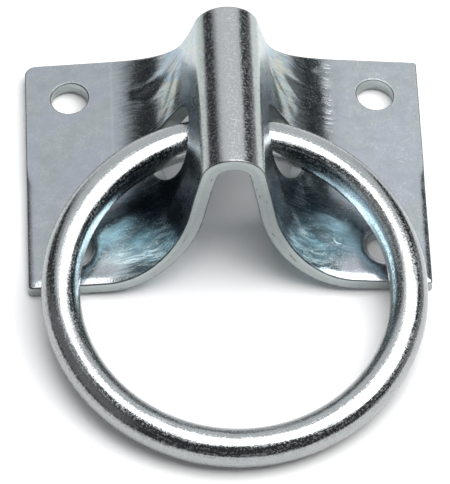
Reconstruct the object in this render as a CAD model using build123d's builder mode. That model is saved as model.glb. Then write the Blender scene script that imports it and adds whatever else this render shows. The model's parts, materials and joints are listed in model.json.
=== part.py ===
"""Ring on a pressed plate: one formed steel sheet with a ridge, and one welded wire ring that swings in it.

Frame: the origin is the middle of the plate on the mounting plane, +X across the ridge, +Y along the
ridge away from the ring at rest, +Z out from the mounting plane.
"""
from build123d import *
from math import asin, cos, degrees, hypot, pi, radians, sin, sqrt, tan
import os

os.makedirs("parts", exist_ok=True)

# Plate
PLATE_WIDTH = 67.0  # across the ridge
PLATE_LENGTH = 45.7  # along the ridge
SHEET = 2.6  # sheet thickness
FLANGE_LIFT = radians(5.0)  # each flange springs up towards the ridge by this slope
CORNER_RADII = {(-1, 1): 1.8, (1, 1): 0.6, (-1, -1): 0.7, (1, -1): 0.7}  # keyed by side and end

# Ridge, on the sheet's outer surface
BEND_X = 20.7  # the flange ends and the fillet begins
FILLET_RADIUS = 15.3
WALL_SLOPE = radians(77.2)
RIDGE_HEIGHT = 27.9  # crown above the mounting plane
END_SETBACK = 7.0  # the crown's ends stand back from the flanges' ends by this much
SETBACK_SHARE = 0.85  # share of the way from bend to crown over which they step back
CUT_START = 0.05  # the curved end cut begins this much past the flange's end, so that they cross
CUT_STEPS = 72  # points on each half of the curved end cut
CUT_MARGIN = 1.0  # the end cut reaches this far past the sheet's surfaces

# Holes
SCREW_SPACING_X = 52.0
SCREW_SPACING_Y = 31.2
SCREW_HOLE_RADIUS = 3.175
RING_HOLE_RADIUS = 6.35
RING_HOLE_FROM_CROWN = 20.2  # along the sheet, from the crown's middle to the hole's centre
PUNCH_LENGTH = 16.0  # long enough to pass one wall, short enough to miss the other

# Ring
WIRE_RADIUS = 3.175
RING_RADIUS = 28.575  # to the middle of the wire
RING_SHIFT = 0.33  # the loose ring lies this much to the right of the ridge's middle
PIVOT_Y = 0.4  # swing axis: the wire's middle where it passes through the ridge's walls
PIVOT_Z = 10.8
WALL_CROSSING_X = 8.2  # where the wire's middle passes through the middle of each wall
WELD_RADIUS = 3.4  # flash left round the butt weld, under the ridge
WELD_HALF_ANGLE = 2.6  # degrees of the ring
WELD_ROUNDING = 0.15

# The section's tangent points, worked out from the sizes above
edge_z = SHEET / cos(FLANGE_LIFT)
bend_z = edge_z + (PLATE_WIDTH / 2 - BEND_X) * tan(FLANGE_LIFT)
foot_x = BEND_X - FILLET_RADIUS * (sin(WALL_SLOPE) - sin(FLANGE_LIFT))
foot_z = bend_z + FILLET_RADIUS * (cos(FLANGE_LIFT) - cos(WALL_SLOPE))
height_left = RIDGE_HEIGHT - foot_z
crown_radius = (foot_x * sin(WALL_SLOPE) - height_left * cos(WALL_SLOPE)) / (1 - cos(WALL_SLOPE))
shoulder_x = crown_radius * sin(WALL_SLOPE)
shoulder_z = RIDGE_HEIGHT - crown_radius * (1 - cos(WALL_SLOPE))
crown_length = crown_radius * WALL_SLOPE
wall_length = hypot(foot_x - shoulder_x, shoulder_z - foot_z)
fillet_length = FILLET_RADIUS * (WALL_SLOPE - FLANGE_LIFT)
bend_distance = crown_length + wall_length + fillet_length
edge_distance = bend_distance + (PLATE_WIDTH / 2 - BEND_X) / cos(FLANGE_LIFT)


def outer_surface(distance):
    """The outer surface's x, z and slope, at a distance along the sheet from the crown's middle."""
    if distance < crown_length:
        slope = distance / crown_radius
        return crown_radius * sin(slope), RIDGE_HEIGHT - crown_radius * (1 - cos(slope)), slope
    beyond = distance - crown_length
    if beyond < wall_length:
        x = shoulder_x + beyond * cos(WALL_SLOPE)
        return x, shoulder_z - beyond * sin(WALL_SLOPE), WALL_SLOPE
    beyond -= wall_length
    if beyond < fillet_length:
        slope = WALL_SLOPE - beyond / FILLET_RADIUS
        x = BEND_X - FILLET_RADIUS * (sin(slope) - sin(FLANGE_LIFT))
        return x, bend_z + FILLET_RADIUS * (cos(FLANGE_LIFT) - cos(slope)), slope
    beyond -= fillet_length
    return BEND_X + beyond * cos(FLANGE_LIFT), bend_z - beyond * sin(FLANGE_LIFT), FLANGE_LIFT


def inner_point(x, z, slope):
    """The point on the sheet's inner surface, square under a point on the outer one."""
    return x - SHEET * sin(slope), z - SHEET * cos(slope)


def setback(distance):
    """How far the cut end stands back at a distance along the sheet: a smooth step from bend to crown."""
    share = (bend_distance - distance) / (SETBACK_SHARE * bend_distance)
    if share < 0:
        return share - CUT_START
    share = min(share, 1)
    return END_SETBACK * share * share * (3 - 2 * share) - CUT_START


def end_curve(end, depth):
    """The curve of one cut end at a depth under the outer surface, right across the sheet."""
    points = []
    for step in range(-CUT_STEPS, CUT_STEPS + 1):
        distance = abs(step) / CUT_STEPS * (edge_distance + CUT_MARGIN)
        x, z, slope = outer_surface(distance)
        side = 1 if step >= 0 else -1
        y = end * (PLATE_LENGTH / 2 - setback(distance))
        points.append((side * (x - depth * sin(slope)), y, z - depth * cos(slope)))
    return Edge.make_spline(points, parameters=[i / (2 * CUT_STEPS) for i in range(len(points))])


def end_cut(end):
    """The surface that one end of the ridge is cut along, square to the sheet all the way."""
    return Face.make_surface_from_curves(end_curve(end, -CUT_MARGIN), end_curve(end, SHEET + CUT_MARGIN))


# Base plate: the sheet's section run along Y, then its corners, ends and holes
with BuildPart() as base_plate:
    with BuildSketch(Plane.XZ):
        with BuildLine():
            edge = (PLATE_WIDTH / 2, edge_z)
            bend = (BEND_X, bend_z)
            foot = (foot_x, foot_z)
            shoulder = (shoulder_x, shoulder_z)
            crown = (0, RIDGE_HEIGHT)
            inner_crown = (0, RIDGE_HEIGHT - SHEET)
            inner_shoulder = inner_point(shoulder_x, shoulder_z, WALL_SLOPE)
            inner_foot = inner_point(foot_x, foot_z, WALL_SLOPE)
            inner_bend = inner_point(BEND_X, bend_z, FLANGE_LIFT)
            inner_edge = (PLATE_WIDTH / 2, 0)
            Line(edge, bend)
            RadiusArc(bend, foot, FILLET_RADIUS)
            Line(foot, shoulder)
            RadiusArc(shoulder, crown, -crown_radius)
            Line(crown, inner_crown)
            RadiusArc(inner_crown, inner_shoulder, crown_radius - SHEET)
            Line(inner_shoulder, inner_foot)
            RadiusArc(inner_foot, inner_bend, -(FILLET_RADIUS + SHEET))
            Line(inner_bend, inner_edge)
            Line(inner_edge, edge)
        make_face()
        mirror(about=Plane.YZ)
    extrude(amount=PLATE_LENGTH / 2, both=True)

    for (side, end), radius in CORNER_RADII.items():
        corner = (side * PLATE_WIDTH / 2, end * PLATE_LENGTH / 2, edge_z / 2)
        fillet(base_plate.edges().filter_by(Axis.Z).sort_by_distance(corner)[0], radius)

    split(bisect_by=end_cut(-1), keep=Keep.TOP)
    split(bisect_by=end_cut(1), keep=Keep.BOTTOM)

    with GridLocations(SCREW_SPACING_X, SCREW_SPACING_Y, 2, 2):
        Cylinder(SCREW_HOLE_RADIUS, PUNCH_LENGTH, mode=Mode.SUBTRACT)

    hole_x, hole_z, hole_slope = outer_surface(RING_HOLE_FROM_CROWN)
    for side in (-1, 1):
        square_to_wall = (side * sin(hole_slope), 0, cos(hole_slope))
        with Locations(Plane(origin=(side * hole_x, 0, hole_z), z_dir=square_to_wall)):
            Cylinder(RING_HOLE_RADIUS, PUNCH_LENGTH, mode=Mode.SUBTRACT)

# Ring: round wire bent to a full circle, lying on the mounting plane in front of the plate
pivot_to_centre = sqrt(RING_RADIUS**2 - WALL_CROSSING_X**2)
rest_tilt = asin((PIVOT_Z - WIRE_RADIUS) / (pivot_to_centre + RING_RADIUS))
up_the_ring = Vector(0, cos(rest_tilt), sin(rest_tilt))
ring_centre = Vector(RING_SHIFT, PIVOT_Y, PIVOT_Z) - up_the_ring * pivot_to_centre
ring_axis = Axis(ring_centre, (0, sin(rest_tilt), -cos(rest_tilt)))


def wire_section(angle):
    """The plane square across the wire, at an angle round the ring from its middle under the ridge."""
    outwards = up_the_ring.rotate(ring_axis, angle)
    return Plane(origin=ring_centre, x_dir=outwards, z_dir=ring_axis.direction.cross(outwards))


with BuildPart() as ring:
    with BuildSketch(wire_section(0)):
        with Locations((RING_RADIUS, 0)):
            Circle(WIRE_RADIUS)
    revolve(axis=ring_axis, revolution_arc=360)
    with BuildSketch(wire_section(-WELD_HALF_ANGLE)):
        with Locations((RING_RADIUS, 0)):
            Circle(WELD_RADIUS)
    revolve(axis=ring_axis, revolution_arc=2 * WELD_HALF_ANGLE)
    weld_rims = ring.edges().filter_by(lambda rim: rim.length > 2 * pi * (WELD_RADIUS - WELD_ROUNDING))
    weld_rims = weld_rims.filter_by(lambda rim: rim.length < 2 * pi * (WELD_RADIUS + WELD_ROUNDING))
    fillet(weld_rims, WELD_ROUNDING)

base_plate.part.label = "base_plate"
ring.part.label = "ring"
export_step(base_plate.part, "parts/base_plate.step")
export_step(ring.part, "parts/ring.step")

swing = 180 + 2 * degrees(rest_tilt)
print(f"ring at rest: tilt {degrees(rest_tilt):.2f} degrees, centre {ring_centre}, swings {swing:.2f} degrees")
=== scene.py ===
"""A zinc-plated ring that swings in a pressed steel plate: surfaces, finishes and studio.

Lengths are in metres. The plate's surfaces are worked out on the flat sheet that it was pressed from: a
place on the sheet is its distance across the ridge from the crown's middle and its place along the ridge.
"""
import json
from math import asin, cos, hypot, pi, radians, sin, sqrt, tan

import bpy
import numpy as np
from mathutils import Matrix, Vector


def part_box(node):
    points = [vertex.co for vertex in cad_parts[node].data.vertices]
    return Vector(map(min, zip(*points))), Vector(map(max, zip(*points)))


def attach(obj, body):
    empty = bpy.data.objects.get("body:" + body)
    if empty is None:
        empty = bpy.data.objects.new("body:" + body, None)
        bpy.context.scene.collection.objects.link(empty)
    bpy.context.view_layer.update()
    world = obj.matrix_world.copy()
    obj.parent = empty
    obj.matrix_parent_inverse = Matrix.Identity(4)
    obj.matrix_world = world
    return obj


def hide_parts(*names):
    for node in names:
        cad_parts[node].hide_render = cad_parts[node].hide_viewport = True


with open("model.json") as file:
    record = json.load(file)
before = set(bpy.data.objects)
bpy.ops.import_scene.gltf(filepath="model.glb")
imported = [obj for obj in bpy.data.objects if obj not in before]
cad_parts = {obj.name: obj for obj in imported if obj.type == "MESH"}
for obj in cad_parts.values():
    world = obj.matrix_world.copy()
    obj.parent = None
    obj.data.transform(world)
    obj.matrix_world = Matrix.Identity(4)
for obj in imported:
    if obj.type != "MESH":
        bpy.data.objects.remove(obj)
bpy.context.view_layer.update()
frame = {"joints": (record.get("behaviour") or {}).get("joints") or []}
plate_low, plate_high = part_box("base_plate")
ring_low, ring_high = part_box("ring")
MM = 0.001

# The sheet, as pressed
SHEET = 2.6 * MM
FLANGE_LIFT = radians(5.0)
BEND_X = 20.7 * MM
FILLET_RADIUS = 15.3 * MM
WALL_SLOPE = radians(77.2)
END_SETBACK = 7.0 * MM
SETBACK_SHARE = 0.85
CORNER_RADII = {(-1, 1): 1.8 * MM, (1, 1): 0.6 * MM, (-1, -1): 0.7 * MM, (1, -1): 0.7 * MM}  # side, end
EDGE_ROUNDING = 0.16 * MM
ROLL_WIDTH = 1.6 * MM  # the shear pulled the sheet down beside its cut edges
ROLL_DEPTH = 0.34 * MM
SCREW_X = 26.0 * MM
SCREW_Y = 15.6 * MM
SCREW_HOLE_RADIUS = 3.175 * MM
RING_HOLE_RADIUS = 6.35 * MM
RING_HOLE_PLACE = 20.2 * MM  # along the sheet, from the crown's middle to the hole's

# The ring
WIRE_RADIUS = 3.175 * MM
WALL_CROSSING_X = 8.2 * MM  # where the wire's middle passes through the middle of each wall
WELD_RADIUS = 3.4 * MM  # the flash left round the butt weld
WELD_HALF_ANGLE = radians(2.6)

# Tangent points of the section, and their distances across the sheet
half_width = plate_high.x
half_length = plate_high.y
ridge_height = plate_high.z
edge_z = SHEET / cos(FLANGE_LIFT)
bend_z = edge_z + (half_width - BEND_X) * tan(FLANGE_LIFT)
foot_x = BEND_X - FILLET_RADIUS * (sin(WALL_SLOPE) - sin(FLANGE_LIFT))
foot_z = bend_z + FILLET_RADIUS * (cos(FLANGE_LIFT) - cos(WALL_SLOPE))
height_left = ridge_height - foot_z
crown_radius = (foot_x * sin(WALL_SLOPE) - height_left * cos(WALL_SLOPE)) / (1 - cos(WALL_SLOPE))
shoulder_x = crown_radius * sin(WALL_SLOPE)
shoulder_z = ridge_height - crown_radius * (1 - cos(WALL_SLOPE))
crown_end = crown_radius * WALL_SLOPE
wall_end = crown_end + hypot(foot_x - shoulder_x, shoulder_z - foot_z)
bend = wall_end + FILLET_RADIUS * (WALL_SLOPE - FLANGE_LIFT)
sheet_end = bend + (half_width - BEND_X) / cos(FLANGE_LIFT)


def ramp(values, start, end):
    """0 up to the start, 1 from the end on, and a straight line between them."""
    return np.clip((values - start) / (end - start), 0, 1)


def section(across, depth):
    """The pressed sheet's section. Across the sheet it is a circle for the crown, a straight wall, a circle
    for the fillet and a straight flange, each tangent to the next; the depth is measured square under the
    outer surface. Returns x, z and the unit vector out of the sheet as x and z."""
    far = np.abs(across)
    in_crown = far < crown_end
    in_wall = (far >= crown_end) & (far < wall_end)
    in_fillet = (far >= wall_end) & (far < bend)
    slope = np.select([in_crown, in_wall, in_fillet],
                      [far / crown_radius, WALL_SLOPE, WALL_SLOPE - (far - wall_end) / FILLET_RADIUS],
                      FLANGE_LIFT)
    x = np.select([in_crown, in_wall, in_fillet],
                  [crown_radius * np.sin(slope),
                   shoulder_x + (far - crown_end) * cos(WALL_SLOPE),
                   BEND_X - FILLET_RADIUS * (np.sin(slope) - sin(FLANGE_LIFT))],
                  BEND_X + (far - bend) * cos(FLANGE_LIFT))
    z = np.select([in_crown, in_wall, in_fillet],
                  [ridge_height - crown_radius * (1 - np.cos(slope)),
                   shoulder_z - (far - crown_end) * sin(WALL_SLOPE),
                   bend_z + FILLET_RADIUS * (cos(FLANGE_LIFT) - np.cos(slope))],
                  bend_z - (far - bend) * sin(FLANGE_LIFT))
    side = np.sign(across)
    out_x, out_z = side * np.sin(slope), np.cos(slope)
    return side * x - depth * out_x, z - depth * out_z, out_x, out_z


def end_line(across, x):
    """How far the sheet reaches along the ridge at its two ends: half its length, less a smooth step back
    from the bend to the crown, less the corner's circle beside the flange's edge. Returns the low and the
    high end."""
    share = ramp(bend - np.abs(across), 0, SETBACK_SHARE * bend)
    reach = half_length - END_SETBACK * share**2 * (3 - 2 * share)
    ends = []
    for end in (-1, 1):
        radius = np.where(x < 0, CORNER_RADII[-1, end], CORNER_RADII[1, end])
        past = np.clip(np.abs(x) - (half_width - radius), 0, radius)
        ends.append(end * (reach - radius + np.sqrt(radius**2 - past**2)))
    return ends


def edge_gap(across, along, x):
    """Distance from the sheet's outline: that of a rectangle with round corners, or from the ridge's curved
    end, where the distance along the ridge is shortened by the slant of the end."""
    nearest = np.full(across.shape, np.inf)
    step = 0.01 * MM  # over which the slant is measured
    for end in (-1, 1):
        radius = np.where(x < 0, CORNER_RADII[-1, end], CORNER_RADII[1, end])
        past_x = np.abs(x) - (half_width - radius)
        past_y = end * along - (half_length - radius)
        corner = radius - np.hypot(np.maximum(past_x, 0), np.maximum(past_y, 0))
        square = corner - np.minimum(np.maximum(past_x, past_y), 0)
        reach = end * end_line(across, np.zeros_like(x))[(end + 1) // 2]
        slant = (end * end_line(across + step, np.zeros_like(x))[(end + 1) // 2] - reach) / step
        curved = (reach - end * along) / np.hypot(1, slant)
        nearest = np.minimum(nearest, np.where(np.abs(across) < bend, curved, square))
    return nearest


def edge_drop(across, along, gap, rolled):
    """How far the surface drops near an edge: a quarter circle, as deep as it is wide, and on the face that
    the shear pressed on, a parabola that falls to the edge, deepest along the front of the flanges."""
    left = EDGE_ROUNDING - np.clip(gap, 0, EDGE_ROUNDING)
    circle = EDGE_ROUNDING - np.sqrt(np.maximum(EDGE_ROUNDING**2 - left**2, 0))
    share = 1 - ramp(gap, 0, ROLL_WIDTH)
    front = ramp(-along, -2 * MM, 2 * MM) * ramp(np.abs(across), 20 * MM, 30 * MM)
    return circle + rolled * ROLL_DEPTH * (0.1 + 0.9 * front) * share**2


# The sheet's grid: columns across the ridge and rows along it, with the blocks round the holes left out.
# Each span of columns on the right half starts and ends at these distances across and has this many columns.
RIDGE_SPAN = (0, 12.4 * MM, 26)
RING_HOLE_SPAN = (12.4 * MM, 28.4 * MM, 32)
BEND_SPAN = (28.4 * MM, 35.6 * MM, 18)
SCREW_SPAN = (35.6 * MM, 45.0 * MM, 20)
EDGE_COLUMNS = 7  # from the screw hole's block to the flange's edge
MIDDLE_ROWS = 48  # from the middle to each end
RING_HOLE_ROWS = 21  # from the middle to each side of the ring hole's block
SCREW_ROWS = (23, 43)  # from the middle to the near and the far side of a screw hole's block
PATCH_LOOPS = 7  # from a hole's rounded edge out to its block
FINE_STEPS = 600  # along the line that a hole's edge is looked up on
ring_hole_column = RIDGE_SPAN[2]
screw_column = ring_hole_column + RING_HOLE_SPAN[2] + BEND_SPAN[2]
near_edge = EDGE_ROUNDING * (1 - np.sin(np.radians([90, 68, 45, 23, 0])))  # rows round the quarter circle
first_row = 2.5 * EDGE_ROUNDING  # how far the next row stands in from an edge


def columns(depth):
    """Distances across the sheet of the grid's columns, from the left edge to the right one."""
    end = sheet_end + depth * tan(FLANGE_LIFT)
    spans = [np.linspace(start, stop, count, endpoint=False)
             for start, stop, count in (RIDGE_SPAN, RING_HOLE_SPAN, BEND_SPAN, SCREW_SPAN)]
    last_span = np.linspace(SCREW_SPAN[1], end - first_row, EDGE_COLUMNS)
    half = np.concatenate([*spans, last_span, end - near_edge[::-1]])
    return np.concatenate([-half[:0:-1], half])


def rows():
    """The grid's rows as a share of the way to the sheet's end, and how far each stands in from that end;
    only the rows of the rounded edge have a place of their own, the others share out the rest."""
    middle = np.linspace(-1, 1, 2 * MIDDLE_ROWS + 1)
    edge = near_edge[::-1]
    share = np.concatenate([-np.ones(len(edge)), middle, np.ones(len(edge))])
    inset = np.concatenate([edge[::-1], np.full(len(middle), first_row), edge])
    return share, inset


row_share, row_inset = rows()
column_count = len(columns(0))
row_count = len(row_share)
middle_column = column_count // 2
middle_row = row_count // 2


def blocks():
    """The block of grid cells round each hole: first and last column, first and last row, the hole's side,
    its place across the sheet and along the ridge, its axis's lean and its radius."""
    found = []
    lean = WALL_SLOPE - (RING_HOLE_PLACE - wall_end) / FILLET_RADIUS
    screw_place = bend + (SCREW_X - BEND_X) / cos(FLANGE_LIFT)
    for side in (-1, 1):
        spans = [(ring_hole_column, ring_hole_column + RING_HOLE_SPAN[2], -RING_HOLE_ROWS, RING_HOLE_ROWS,
                  RING_HOLE_PLACE, 0, lean, RING_HOLE_RADIUS)]
        for end in (-1, 1):
            low, high = sorted(end * row for row in SCREW_ROWS)
            spans.append((screw_column, screw_column + SCREW_SPAN[2], low, high,
                          screw_place, end * SCREW_Y, 0, SCREW_HOLE_RADIUS))
        for first, last, low, high, *hole in spans:
            first, last = sorted(side * column for column in (first, last))
            found.append((middle_column + first, middle_column + last, middle_row + low, middle_row + high,
                          side, *hole))
    return found


def block_loop(first, last, low, high):
    """Grid indices once round a block, anticlockwise from its low corner."""
    across = np.arange(first, last)
    along = np.arange(low, high)
    return np.concatenate([across * row_count + low,
                           last * row_count + along,
                           (across + 1)[::-1] * row_count + high,
                           first * row_count + (along + 1)[::-1]])


def block_angles(first, last, low, high):
    """The angle round the hole for each point of the block's loop: a quarter turn in even steps along each
    side of the block."""
    counts = [last - first, high - low] * 2
    quarters = [np.linspace(start, start + 90, count, endpoint=False)
                for start, count in zip((-135, -45, 45, 135), counts)]
    return np.radians(np.concatenate(quarters))


def rim(side, place, along, lean, radius, angle, depth):
    """Where a round hole's edge lies on the face at a depth. The hole is a cylinder whose axis leans from
    the vertical; its edge is where the distance from that axis, square to it and across the ridge, is the
    radius times the angle's cosine."""
    fine = np.linspace(place - 2 * radius, place + 2 * radius, FINE_STEPS)
    x, z, _, _ = section(fine, depth)
    x0, z0, _, _ = section(np.array([place]), 0)
    level = (x - x0) * cos(lean) - (z - z0) * sin(lean)
    across = np.interp(side * radius * np.cos(angle), level, fine)
    return side * across, along + radius * np.sin(angle)


def sheet_places(depth):
    """Every vertex of one face of the sheet as across, along and gap: first the grid, then the loops round
    each hole, which go from the hole's edge out to its block in straight lines. The gap is the distance to
    the nearest edge, of the outline or of a hole."""
    across = np.repeat(columns(depth), row_count)
    x = section(across, depth)[0]
    low, high = end_line(across, x)
    share = np.tile(row_share, column_count)
    inset = np.tile(row_inset, column_count)
    along = np.where(share < 0, low + inset, high - inset)
    inner = np.abs(share) < 1
    along = np.where(inner, np.abs(share) * along, along)
    hole_gap = [np.full(across.shape, np.inf)]
    all_across, all_along = [across], [along]
    for first, last, bottom, top, side, place, middle, lean, radius in blocks():
        loop = block_loop(first, last, bottom, top)
        angle = block_angles(first, last, bottom, top)
        rim_across, rim_along = rim(side, place, middle, lean, radius, angle, depth)
        way_across, way_along = across[loop] - rim_across, along[loop] - rim_along
        length = np.hypot(way_across, way_along)
        outer = first_row / length + (1 - first_row / length) * \
            np.linspace(0, 1, PATCH_LOOPS, endpoint=False)[:, None]
        part = np.concatenate([near_edge[:, None] / length, outer])
        all_across.append((rim_across + way_across * part).ravel())
        all_along.append((rim_along + way_along * part).ravel())
        hole_gap.append((part * length).ravel())
    across, along = np.concatenate(all_across), np.concatenate(all_along)
    x = section(across, depth)[0]
    gap = np.minimum(edge_gap(across, along, x), np.concatenate(hole_gap))
    return across, along, gap


def strip(first, second):
    """Quads between two closed loops of vertex indices, which lie side by side."""
    return np.stack([first, np.roll(first, -1), np.roll(second, -1), second], -1)


def sheet_faces():
    """Quads of one face of the sheet, its outline as a loop of indices, the loop round each hole's edge and
    the number of vertices."""
    column, row = np.meshgrid(np.arange(column_count - 1), np.arange(row_count - 1), indexing="ij")
    keep = np.ones(column.shape, bool)
    count = column_count * row_count
    patches, rims = [], []
    for first, last, low, high, *_ in blocks():
        keep[first:last, low:high] = False
        loop = block_loop(first, last, low, high)
        loops = count + np.arange((PATCH_LOOPS + len(near_edge)) * len(loop)).reshape(-1, len(loop))
        count += loops.size
        rims.append(loops[0])
        patches += [strip(outer, inner) for outer, inner in zip([*loops[1:], loop], loops)]
    corner = (column * row_count + row)[keep]
    cells = np.stack([corner, corner + row_count, corner + row_count + 1, corner + 1], -1)
    outline = block_loop(0, column_count - 1, 0, row_count - 1)
    return np.concatenate([cells, *patches]), outline, rims, count


# Creases that drawing left in the fillets, in millimetres: start and end (across, along), half width, rise
CREASES = [((-19.0, 16.8), (-28.6, 15.0), 0.9, 0.20),
           ((-21.0, 14.2), (-27.0, 12.6), 1.1, -0.14),
           ((-18.6, 14.0), (-23.4, 7.0), 0.8, 0.12),
           ((19.4, 17.0), (29.4, 14.4), 0.8, 0.16),
           ((18.6, 13.6), (24.6, 9.2), 0.7, 0.12),
           ((22.0, 15.4), (27.6, 12.0), 0.9, -0.10),
           ((24.6, 21.5), (29.0, 20.0), 1.0, -0.14),
           ((-19.0, -9.0), (-30.0, -14.5), 1.6, -0.10),
           ((-21.0, -15.0), (-31.0, -19.5), 1.5, 0.08),
           ((19.0, -10.0), (30.0, -16.5), 1.5, -0.10),
           ((21.0, -16.0), (31.5, -19.0), 1.4, 0.08)]


def relief(across, along, gap):
    """Shallow creases in the drawn sheet, outwards. Each is a bell curve of the distance from its line, and
    it fades out at the line's ends and at the sheet's edges. A slow wave, which fades out towards the
    walls, lies under them."""
    wave = np.sin(across / (2.6 * MM) + np.sin(along / (4.1 * MM))) * np.cos(along / (3.4 * MM))
    height = 0.03 * MM * wave * ramp(np.abs(across), wall_end, wall_end + 4 * MM)
    for start, end, width, rise in CREASES:
        first, last = np.array(start) * MM, np.array(end) * MM
        way = last - first
        length = np.hypot(*way)
        run = ((across - first[0]) * way[0] + (along - first[1]) * way[1]) / length
        off = ((across - first[0]) * way[1] - (along - first[1]) * way[0]) / length
        past = np.maximum(np.abs(run - length / 2) - length / 2, 0)
        height = height + rise * MM * np.exp(-(off**2 + past**2) / (width * MM)**2)
    return height * ramp(gap, 0.2 * MM, 2.2 * MM)**2


def mesh_object(name, vertices, faces, material_numbers, materials, body, node, slot, **attributes):
    """A closed, smoothly shaded mesh that stands for a CAD node and rides on its body; the slot it is given
    is not used.
    """
    used, faces = np.unique(faces, return_inverse=True)
    faces = faces.reshape(-1, 4)
    mesh = bpy.data.meshes.new(name)
    mesh.from_pydata(vertices[used], [], faces)
    mesh.polygons.foreach_set("use_smooth", np.ones(len(faces), bool))
    mesh.polygons.foreach_set("material_index", material_numbers)
    for key, values in attributes.items():
        kind, field = ("FLOAT", "value") if values.ndim == 1 else ("FLOAT_VECTOR", "vector")
        attribute = mesh.attributes.new(key, kind, "POINT")
        attribute.data.foreach_set(field, values[used].astype(np.float32).ravel())
    for material in materials:
        mesh.materials.append(material)
    mesh.update()
    made = bpy.data.objects.new(name, mesh)
    bpy.context.scene.collection.objects.link(made)
    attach(made, body)
    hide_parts(node)
    return made


def make_plate(materials):
    """The plate: its two faces, and the cut faces between them round the outline and through each hole."""
    quads, outline, rims, count = sheet_faces()
    points, places, gaps = [], [], []
    for depth, sign in ((0, 1), (SHEET, -1)):
        across, along, gap = sheet_places(depth)
        x, z, out_x, out_z = section(across, depth)
        lift = relief(across, along, gap) - sign * edge_drop(across, along, gap, sign > 0)
        x = np.clip(x + lift * out_x, -half_width, half_width)
        points.append(np.stack([x, along, z + lift * out_z], -1))
        places.append(np.stack([across, along, np.full(across.shape, depth) - lift], -1))
        gaps.append(gap)
    cuts = [strip(outline + count, outline)] + [strip(edge, edge + count) for edge in rims]
    cut_quads = np.concatenate(cuts)
    faces = np.concatenate([quads, quads[:, ::-1] + count, cut_quads])
    numbers = np.concatenate([np.zeros(2 * len(quads), int), np.ones(len(cut_quads), int)])
    return mesh_object("pressed_plate", np.concatenate(points), faces, numbers, materials, "plate",
                       "base_plate", "plate_zinc", sheet=np.concatenate(places), gap=np.concatenate(gaps))


RING_STEPS = 360  # round the ring
WIRE_STEPS = 48  # round the wire


def make_ring(material):
    """The ring: a circle of wire. Round it goes one angle and round the wire another, so a point is the
    ring's centre, plus the ring's radius outwards, plus the wire's radius in the second angle's direction;
    the wire swells at the weld, which is under the ridge. Its wrap is the same wire pulled straight."""
    joint = frame["joints"][0]
    pivot = Vector(joint["pos_m"])
    radius = (ring_high.x - ring_low.x) / 2 - WIRE_RADIUS
    around = np.linspace(0, 2 * pi, RING_STEPS, endpoint=False)[:, None]
    about = np.linspace(0, 2 * pi, WIRE_STEPS, endpoint=False)[None, :]
    pivot_to_centre = sqrt(radius**2 - WALL_CROSSING_X**2)
    tilt = asin((pivot.z - WIRE_RADIUS) / (pivot_to_centre + radius))
    up = np.array([0, cos(tilt), sin(tilt)])
    right = np.array([1.0, 0, 0])
    normal = np.cross(right, up)
    middle_x = (ring_low.x + ring_high.x) / 2
    centre = np.array([middle_x, pivot.y, pivot.z]) - up * pivot_to_centre
    turn = np.abs((around + pi) % (2 * pi) - pi)
    swell = 1 - ramp(turn, 0.7 * WELD_HALF_ANGLE, 1.3 * WELD_HALF_ANGLE)
    wire = WIRE_RADIUS + (WELD_RADIUS - WIRE_RADIUS) * swell**2 * (3 - 2 * swell)
    outwards = np.sin(around)[..., None] * right + np.cos(around)[..., None] * up
    points = centre + outwards * (radius + wire * np.cos(about))[..., None] + \
        (wire * np.sin(about))[..., None] * normal
    index = np.arange(points.shape[0] * points.shape[1]).reshape(points.shape[:2])
    faces = np.concatenate([strip(one, two) for one, two in zip(index, np.roll(index, -1, 0))])
    wrap = np.stack(np.broadcast_arrays(around * radius, wire * np.cos(about), wire * np.sin(about)), -1)
    return mesh_object("swinging_ring", points.reshape(-1, 3), faces, np.zeros(len(faces), int), [material],
                       "ring", "ring", "ring_zinc", wrap=wrap.reshape(-1, 3))


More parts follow.
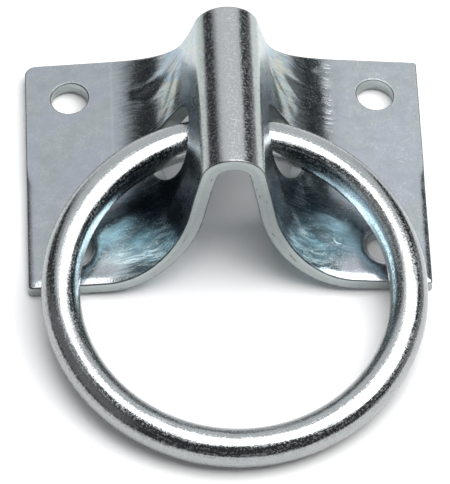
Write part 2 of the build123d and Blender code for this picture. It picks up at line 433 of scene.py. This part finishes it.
class Value:
    """One output of a material's node, so that sums on it are written as ordinary sums."""

    def __init__(self, tree, socket=None):
        self.tree, self.socket = tree, socket

    def node(self, kind, settings=None, values=None, output=0):
        """A new node: its type, its settings, and the values or links of its inputs by name or number."""
        made = self.tree.nodes.new(kind)
        for key, setting in (settings or {}).items():
            setattr(made, key, setting)
        for key, value in (values or {}).items():
            if isinstance(value, Value):
                self.tree.links.new(value.socket, made.inputs[key])
            else:
                made.inputs[key].default_value = value
        return Value(self.tree, made.outputs[output] if made.outputs else None)

    def math(self, operation, *values):
        """A Math node's operation on these values."""
        return self.node("ShaderNodeMath", {"operation": operation}, dict(enumerate(values)))

    def __add__(self, other):
        return self.math("ADD", self, other)

    def __sub__(self, other):
        return self.math("SUBTRACT", self, other)

    def __rsub__(self, other):
        return self.math("SUBTRACT", other, self)

    def __mul__(self, other):
        return self.math("MULTIPLY", self, other)

    __radd__, __rmul__ = __add__, __mul__

    def size(self):
        """The value without its sign."""
        return self.math("ABSOLUTE", self)

    def step(self, low, high):
        """0 below low, 1 above high and smooth between."""
        return self.node("ShaderNodeMapRange", {"interpolation_type": "SMOOTHSTEP"},
                         {"Value": self, "From Min": low, "From Max": high})

    def band(self, low, high, soft):
        """1 from low to high and 0 outside, each border as soft as that."""
        return self.step(low - soft, low + soft) - self.step(high - soft, high + soft)

    def attribute(self, name, output):
        """One of the piece's own attributes."""
        return self.node("ShaderNodeAttribute", {"attribute_name": name}, None, output)

    def part(self, axis):
        """One axis of a place."""
        return self.node("ShaderNodeSeparateXYZ", None, {0: self}, axis)

    def noise(self, size, stretch=(1, 1, 1), detail=3.0, roughness=0.5, output="Fac"):
        """Noise whose blobs are up to that many metres wide, times the stretch along each axis."""
        scaled = self.node("ShaderNodeVectorMath", {"operation": "MULTIPLY"},
                           {0: self, 1: tuple(1 / (size * s) for s in stretch)})
        return self.node("ShaderNodeTexNoise", None,
                         {"Vector": scaled, "Scale": 1.0, "Detail": detail, "Roughness": roughness}, output)

    def swirled(self, place, size, far):
        """This place, moved by a slow noise of that size by up to that many metres."""
        drift = place.noise(size, detail=1.0, output="Color")
        return self.node("ShaderNodeVectorMath", {"operation": "MULTIPLY_ADD"},
                         {0: drift, 1: (far,) * 3, 2: self})

    def hairlines(self, size, stretch, width):
        """Thin lines: 1 where a stretched noise is near its middle and 0 elsewhere."""
        return 1 - (self.noise(size, stretch, detail=1.0) - 0.5).size().step(0, width)

    def blend(self, low, high):
        """A colour that goes from low to high as this value goes from 0 to 1."""
        colours = [c if isinstance(c, Value) else (*c, 1.0) for c in (low, high)]
        return self.node("ShaderNodeMix", {"data_type": "RGBA"}, {0: self, 6: colours[0], 7: colours[1]}, 2)

    def dimmed(self, amount):
        """This colour times one less an amount."""
        return self.node("ShaderNodeVectorMath", {"operation": "SCALE"}, {0: self, "Scale": 1 - amount})


def finish_material(name, build):
    """A metal made by a function of the place on the object, which gives its colour, its roughness and its
    height in metres."""
    material = bpy.data.materials.new(name)
    material.use_nodes = True
    tree = material.node_tree
    tree.nodes.clear()
    start = Value(tree)
    place = start.node("ShaderNodeTexCoord", output="Object")
    colour, roughness, height = build(start, place)
    bump = start.node("ShaderNodeBump", None, {"Height": height, "Strength": 1.0, "Distance": 1.0})
    shader = start.node("ShaderNodeBsdfPrincipled", None,
                        {"Base Color": colour, "Roughness": roughness, "Metallic": 1.0, "Normal": bump})
    start.node("ShaderNodeOutputMaterial", None, {"Surface": shader})
    return material


def flange_zinc(cloud, speckled):
    """The flanges' speckled grey, which turns lilac in slow clouds."""
    speckle = speckled.step(0.25, 0.75)
    grey = speckle.blend((0.33, 0.375, 0.385), (0.445, 0.465, 0.47))
    lilac = speckle.blend((0.36, 0.385, 0.43), (0.435, 0.45, 0.50))
    return (0.7 * cloud.step(0.42, 0.60)).blend(grey, lilac)


def fillet_zinc(colour, far, along, front, drawn, combed):
    """The streaks where the sheet was drawn, grey behind and blue in front with a painted pale reflection,
    the walls' deeper blue, and a painted pale blue highlight on the front of the flanges beside the bend."""
    back_streaks = combed.blend((0.25, 0.29, 0.31), (0.40, 0.44, 0.45))
    # The front streaks are the drawn sheet's own, but their pale cyan end is a painted reflection
    front_streaks_and_painted_reflection = combed.blend((0.24, 0.38, 0.46), (0.74, 0.94, 0.98))
    colour = drawn.blend(colour, front.blend(back_streaks, front_streaks_and_painted_reflection))
    wall = far.band(8.5 * MM, 18 * MM, 2 * MM)
    colour = (0.8 * wall).blend(colour, combed.blend((0.15, 0.26, 0.35), (0.33, 0.42, 0.50)))
    # painted highlight: a pale blue glint on the front of the flanges beside the bend
    film_and_painted_glint = far.band(28 * MM, 36 * MM, 2.5 * MM) * along.band(-18 * MM, -9.5 * MM, 2 * MM)
    return (0.65 * film_and_painted_glint).blend(colour, combed.blend((0.46, 0.64, 0.71), (0.70, 0.89, 0.94)))


# The films' blue, straw, green and rose: each lies between two values of a noise and has a colour
TARNISH = [(0.34, 0.44, (0.30, 0.45, 0.55)),
           (0.48, 0.54, (0.54, 0.51, 0.36)),
           (0.56, 0.62, (0.36, 0.50, 0.44)),
           (0.65, 0.74, (0.50, 0.43, 0.46))]


def tarnish(place, where, colour, strength):
    """The thin films of passivated zinc, in soft patches where the mask lets them."""
    film_and_painted_glint = place.noise(4.5 * MM, stretch=(1, 1, 1.8), detail=1.0)
    for low, high, tint in TARNISH:
        colour = (strength * film_and_painted_glint.band(low, high, 0.05) * where).blend(colour, tint)
    return colour


def front_shadow(colour, far, along, front, right):
    """The painted shade at the ridge's foot in front: it reaches further out towards the ring, and it is
    fainter on the right."""
    slanted = far - 1.1 * (along + 13 * MM)
    shadow = far.step(8 * MM, 14 * MM) * (1 - slanted.step(24 * MM, 29.5 * MM)) * front
    return (shadow * (0.9 - 0.25 * right)).blend(colour, (0.05, 0.075, 0.11))


def plate_face(start, place):
    """The plate's zinc: satin, faintly mottled flanges, drawn streaks and blue films in the fillets, with a
    painted pale reflection on the front streaks, painted shade beside the ridge in front, a painted
    highlight on the flanges' front beside the bend, the right flange painted lighter, a speckled crown, die
    marks at one bend, a pressed dot, paler worn edges and painted shade right along the edges."""
    sheet = start.attribute("sheet", "Vector")
    gap = start.attribute("gap", "Fac")
    across, along = sheet.part("X"), sheet.part("Y")
    # Textures
    cloud = place.noise(9 * MM, detail=2.0)
    mottle = place.noise(2.2 * MM, detail=5.0, roughness=0.62)
    grain = place.noise(0.38 * MM, detail=3.0, roughness=0.6)
    pits = place.noise(0.5 * MM, detail=2.0).step(0.66, 0.76)
    flecks = place.noise(0.36 * MM, detail=1.0).step(0.68, 0.78)
    combing = sheet.swirled(place, 9 * MM, 5 * MM)
    streaks = combing.noise(0.55 * MM, stretch=(9, 1, 1), detail=4.0, roughness=0.6)
    # Zones, by the distance from the crown's middle with an uneven border
    far = across.size() + 5 * MM * (cloud - 0.5)
    crown = 1 - far.step(5 * MM, 8 * MM)
    rim = far.band(4.8 * MM, 8 * MM, 1.2 * MM)
    drawn = far.band(12 * MM, 31 * MM, 3.5 * MM)
    flange = far.step(31 * MM, 36 * MM)
    front = 1 - along.step(-9 * MM, -1 * MM)
    back = along.step(3 * MM, 11 * MM)
    right = across.step(-5 * MM, 5 * MM)
    # Marks
    marks = sheet.noise(0.50 * MM, stretch=(14, 1, 1), detail=1.0).step(0.50, 0.60)
    marks = marks * across.band(31.2 * MM, 32.8 * MM, 0.7 * MM) * along.band(7 * MM, 21.5 * MM, 1 * MM)
    line = across.band(-33.25 * MM, -32.85 * MM, 0.2 * MM) * along.step(-3 * MM, 5 * MM)
    scratches = place.hairlines(0.8 * MM, (7, 1, 1), 0.02) * place.noise(4 * MM).step(0.46, 0.60) * crown
    worn = 1 - (gap + 0.3 * MM * mottle).step(0.25 * MM, 0.65 * MM)
    # painted shade: a dark line right along every edge and round each hole
    painted_edge_shade = 1 - gap.step(0.10 * MM, 0.26 * MM)
    from_dot = start.node("ShaderNodeVectorMath", {"operation": "DISTANCE"},
                          {0: sheet, 1: (32.3 * MM, -15.1 * MM, 0)}, "Value")
    dot = from_dot.band(0.45 * MM, 0.75 * MM, 0.2 * MM)
    # Colour
    colour = flange_zinc(cloud, 0.6 * mottle + 0.4 * grain)
    colour = crown.blend(colour, (0.46, 0.475, 0.475))
    colour = rim.blend(colour, (0.37, 0.43, 0.41))
    colour = fillet_zinc(colour, far, along, front, drawn, streaks.step(0.40, 0.60))
    colour = tarnish(place, far.band(7 * MM, 24 * MM, 3 * MM) * back, colour, 0.55)
    colour = front_shadow(colour, far, along, front, right)
    pale = 0.45 * marks + 0.12 * line + 0.3 * scratches + 0.15 * flecks
    colour = (0.3 * worn).blend(pale.blend(colour, (0.72, 0.74, 0.74)), (0.55, 0.57, 0.57))
    # painted light: the right flange is made lighter than the left
    colour = colour.dimmed(0.16 * pits + 0.55 * painted_edge_shade + 0.10 * grain - 0.17 * right * flange)
    # Roughness and height
    frost = grain.step(0.46, 0.64)
    rough = 0.13 + 0.08 * mottle + (0.10 + 0.10 * crown) * frost + 0.06 * pits + 0.12 * worn
    height = (0.018 * MM - 0.008 * MM * drawn) * grain + 0.05 * MM * drawn * streaks
    height = height - 0.004 * MM * pits - 0.003 * MM * scratches + 0.02 * MM * marks + 0.004 * MM * line
    return colour, rough, height + 0.03 * MM * dot + 0.04 * MM * place.noise(4 * MM, detail=1.0)


def plate_cut(start, place):
    """The plated cut faces: a smoother band where the shear slid, a torn one under it, lines through the
    sheet and short cracks."""
    sheet = start.attribute("sheet", "Vector")
    depth = sheet.part("Z")
    lines = sheet.noise(0.20 * MM, stretch=(1, 1, 8), detail=3.0)
    torn = (depth + 0.7 * MM * (place.noise(2 * MM) - 0.5)).step(0.8 * MM, 1.3 * MM)
    cracks = sheet.noise(0.7 * MM, stretch=(2.2, 2.2, 0.4), detail=2.0).step(0.64, 0.72) * torn
    mouth = depth.step(2.2 * MM, 2.6 * MM)
    colour = lines.blend((0.33, 0.37, 0.37), (0.46, 0.50, 0.49))
    colour = colour.dimmed(0.10 * torn + 0.5 * cracks + 0.35 * mouth)
    height = 0.012 * MM * lines - 0.05 * MM * cracks + 0.02 * MM * torn
    return colour, 0.27 + 0.10 * lines + 0.08 * torn, height


def ring_wire(start, place):
    """The wire's zinc: fine drawn lines along it, speckles, pits and the soft dents of tumbling."""
    wrap = start.attribute("wrap", "Vector")
    lines = wrap.noise(0.26 * MM, stretch=(24, 1, 1), detail=3.0)
    mottle = place.noise(2.4 * MM, detail=4.0, roughness=0.6)
    grain = place.noise(0.34 * MM, detail=3.0, roughness=0.6)
    pits = place.noise(0.5 * MM, detail=2.0).step(0.66, 0.76)
    flecks = place.noise(0.34 * MM, detail=1.0).step(0.68, 0.78)
    scratches = wrap.hairlines(0.9 * MM, (6, 1, 1), 0.02) * place.noise(5 * MM).step(0.52, 0.64)
    colour = mottle.blend((0.375, 0.395, 0.40), (0.455, 0.47, 0.47))
    colour = (0.15 * flecks + 0.2 * scratches).blend(colour, (0.70, 0.71, 0.70))
    colour = colour.dimmed(0.18 * pits + 0.12 * grain)
    frost = (0.6 * grain + 0.4 * lines).step(0.47, 0.60)
    rough = 0.09 + 0.06 * mottle + 0.30 * frost + 0.08 * pits
    height = 0.020 * MM * grain + 0.015 * MM * lines - 0.004 * MM * pits - 0.003 * MM * scratches
    return colour, rough, height + 0.07 * MM * place.noise(6 * MM, detail=1.0)


# Studio
FLOOR_SIZE = 2.0
COOL_WHITE = (0.95, 0.97, 1.0)


def make_floor():
    """A plain pale floor, level with the mounting plane."""
    half = FLOOR_SIZE / 2
    mesh = bpy.data.meshes.new("floor")
    low = min(plate_low.z, ring_low.z)
    corners = [(-half, -half, low), (half, -half, low), (half, half, low), (-half, half, low)]
    mesh.from_pydata(corners, [], [(0, 1, 2, 3)])
    floor = bpy.data.objects.new("floor", mesh)
    bpy.context.scene.collection.objects.link(floor)
    material = bpy.data.materials.new("pale_floor")
    material.use_nodes = True
    shader = material.node_tree.nodes["Principled BSDF"]
    shader.inputs["Base Color"].default_value = (0.9, 0.9, 0.9, 1)
    shader.inputs["Roughness"].default_value = 1.0
    shader.inputs["Specular IOR Level"].default_value = 0.0
    shader.inputs["Emission Color"].default_value = (1.0, 1.0, 1.0, 1)
    shader.inputs["Emission Strength"].default_value = 0.05
    mesh.materials.append(material)


def softbox(name, centre, along, up, brightness, colour=(1, 1, 1)):
    """A rectangular lamp, as wide and high as its two sides are long, that shines away from their cross
    product and looks evenly bright from wherever it is seen."""
    side, rise = Vector(along), Vector(up)
    lamp = bpy.data.lights.new(name, "AREA")
    lamp.shape = "RECTANGLE"
    lamp.size, lamp.size_y = side.length, rise.length
    lamp.energy = brightness * pi * side.length * rise.length
    lamp.color = colour
    box = bpy.data.objects.new(name, lamp)
    facing = Matrix([side.normalized(), rise.normalized(), side.cross(rise).normalized()]).transposed()
    box.matrix_world = Matrix.Translation(centre) @ facing.to_4x4()
    bpy.context.scene.collection.objects.link(box)


def make_lights():
    """A wide softbox overhead and to the right, a dim panel high on the left, a wall in two parts that leans
    over from behind, dim sides and a dark front."""
    world = bpy.data.worlds.new("studio")
    world.use_nodes = True
    world.node_tree.nodes["Background"].inputs["Color"].default_value = (0.055, 0.058, 0.062, 1)
    world.node_tree.nodes["Background"].inputs["Strength"].default_value = 1.0
    bpy.context.scene.world = world
    softbox("overhead_softbox", (0.21, -0.04, 0.5625), (0.68, 0, -0.115), (0, 0.46, 0), 5.0)
    softbox("high_left", (-0.35, 0.13, 0.78), (-0.3, -0.5, 0), (0.162, -0.092, 0.14), 0.3, COOL_WHITE)
    softbox("back_wall", (0.04, 0.6, 0.6), (-1.04, 0, 0), (0, -0.8, 1.2), 0.95, COOL_WHITE)
    softbox("back_wall_end", (-0.56, 0.6, 0.6), (-0.16, 0, 0), (0, -0.8, 1.2), 0.5, COOL_WHITE)
    softbox("left_wall", (-1.0, -0.3, 0.8), (0, -1.3, 0), (0, 0, 1.2), 0.18)
    softbox("right_wall", (1.2, 0.3, 0.25), (0, 1.2, 0), (0, 0, 0.5), 0.28)


# Camera
CAMERA_ELEVATION = radians(55.0)
CAMERA_HEADING = radians(4.72)
CAMERA_ROLL = radians(-3.07)
CAMERA_AIM = Vector((-0.54, -12.31, 0)) * MM
CAMERA_DISTANCE = 751.7 * MM
CAMERA_LENS = 334.7


def make_camera():
    """The camera looks down at its aim, turned a little to one side and rolled."""
    data = bpy.data.cameras.new("camera")
    data.lens = CAMERA_LENS
    data.sensor_width = 36.0
    data.clip_start, data.clip_end = 0.05, 10.0
    turn = (Matrix.Rotation(-CAMERA_HEADING, 3, "Z") @ Matrix.Rotation(pi / 2 - CAMERA_ELEVATION, 3, "X")
            @ Matrix.Rotation(-CAMERA_ROLL, 3, "Z"))
    camera = bpy.data.objects.new("camera", data)
    place = CAMERA_AIM + turn @ Vector((0, 0, CAMERA_DISTANCE))
    camera.matrix_world = Matrix.Translation(place) @ turn.to_4x4()
    bpy.context.scene.collection.objects.link(camera)
    bpy.context.scene.camera = camera


bpy.context.scene.view_settings.view_transform = "Standard"
make_camera()
make_lights()
make_floor()
make_plate([finish_material("bright_zinc_face", plate_face), finish_material("zinc_on_the_cut", plate_cut)])
make_ring(finish_material("bright_zinc_wire", ring_wire))
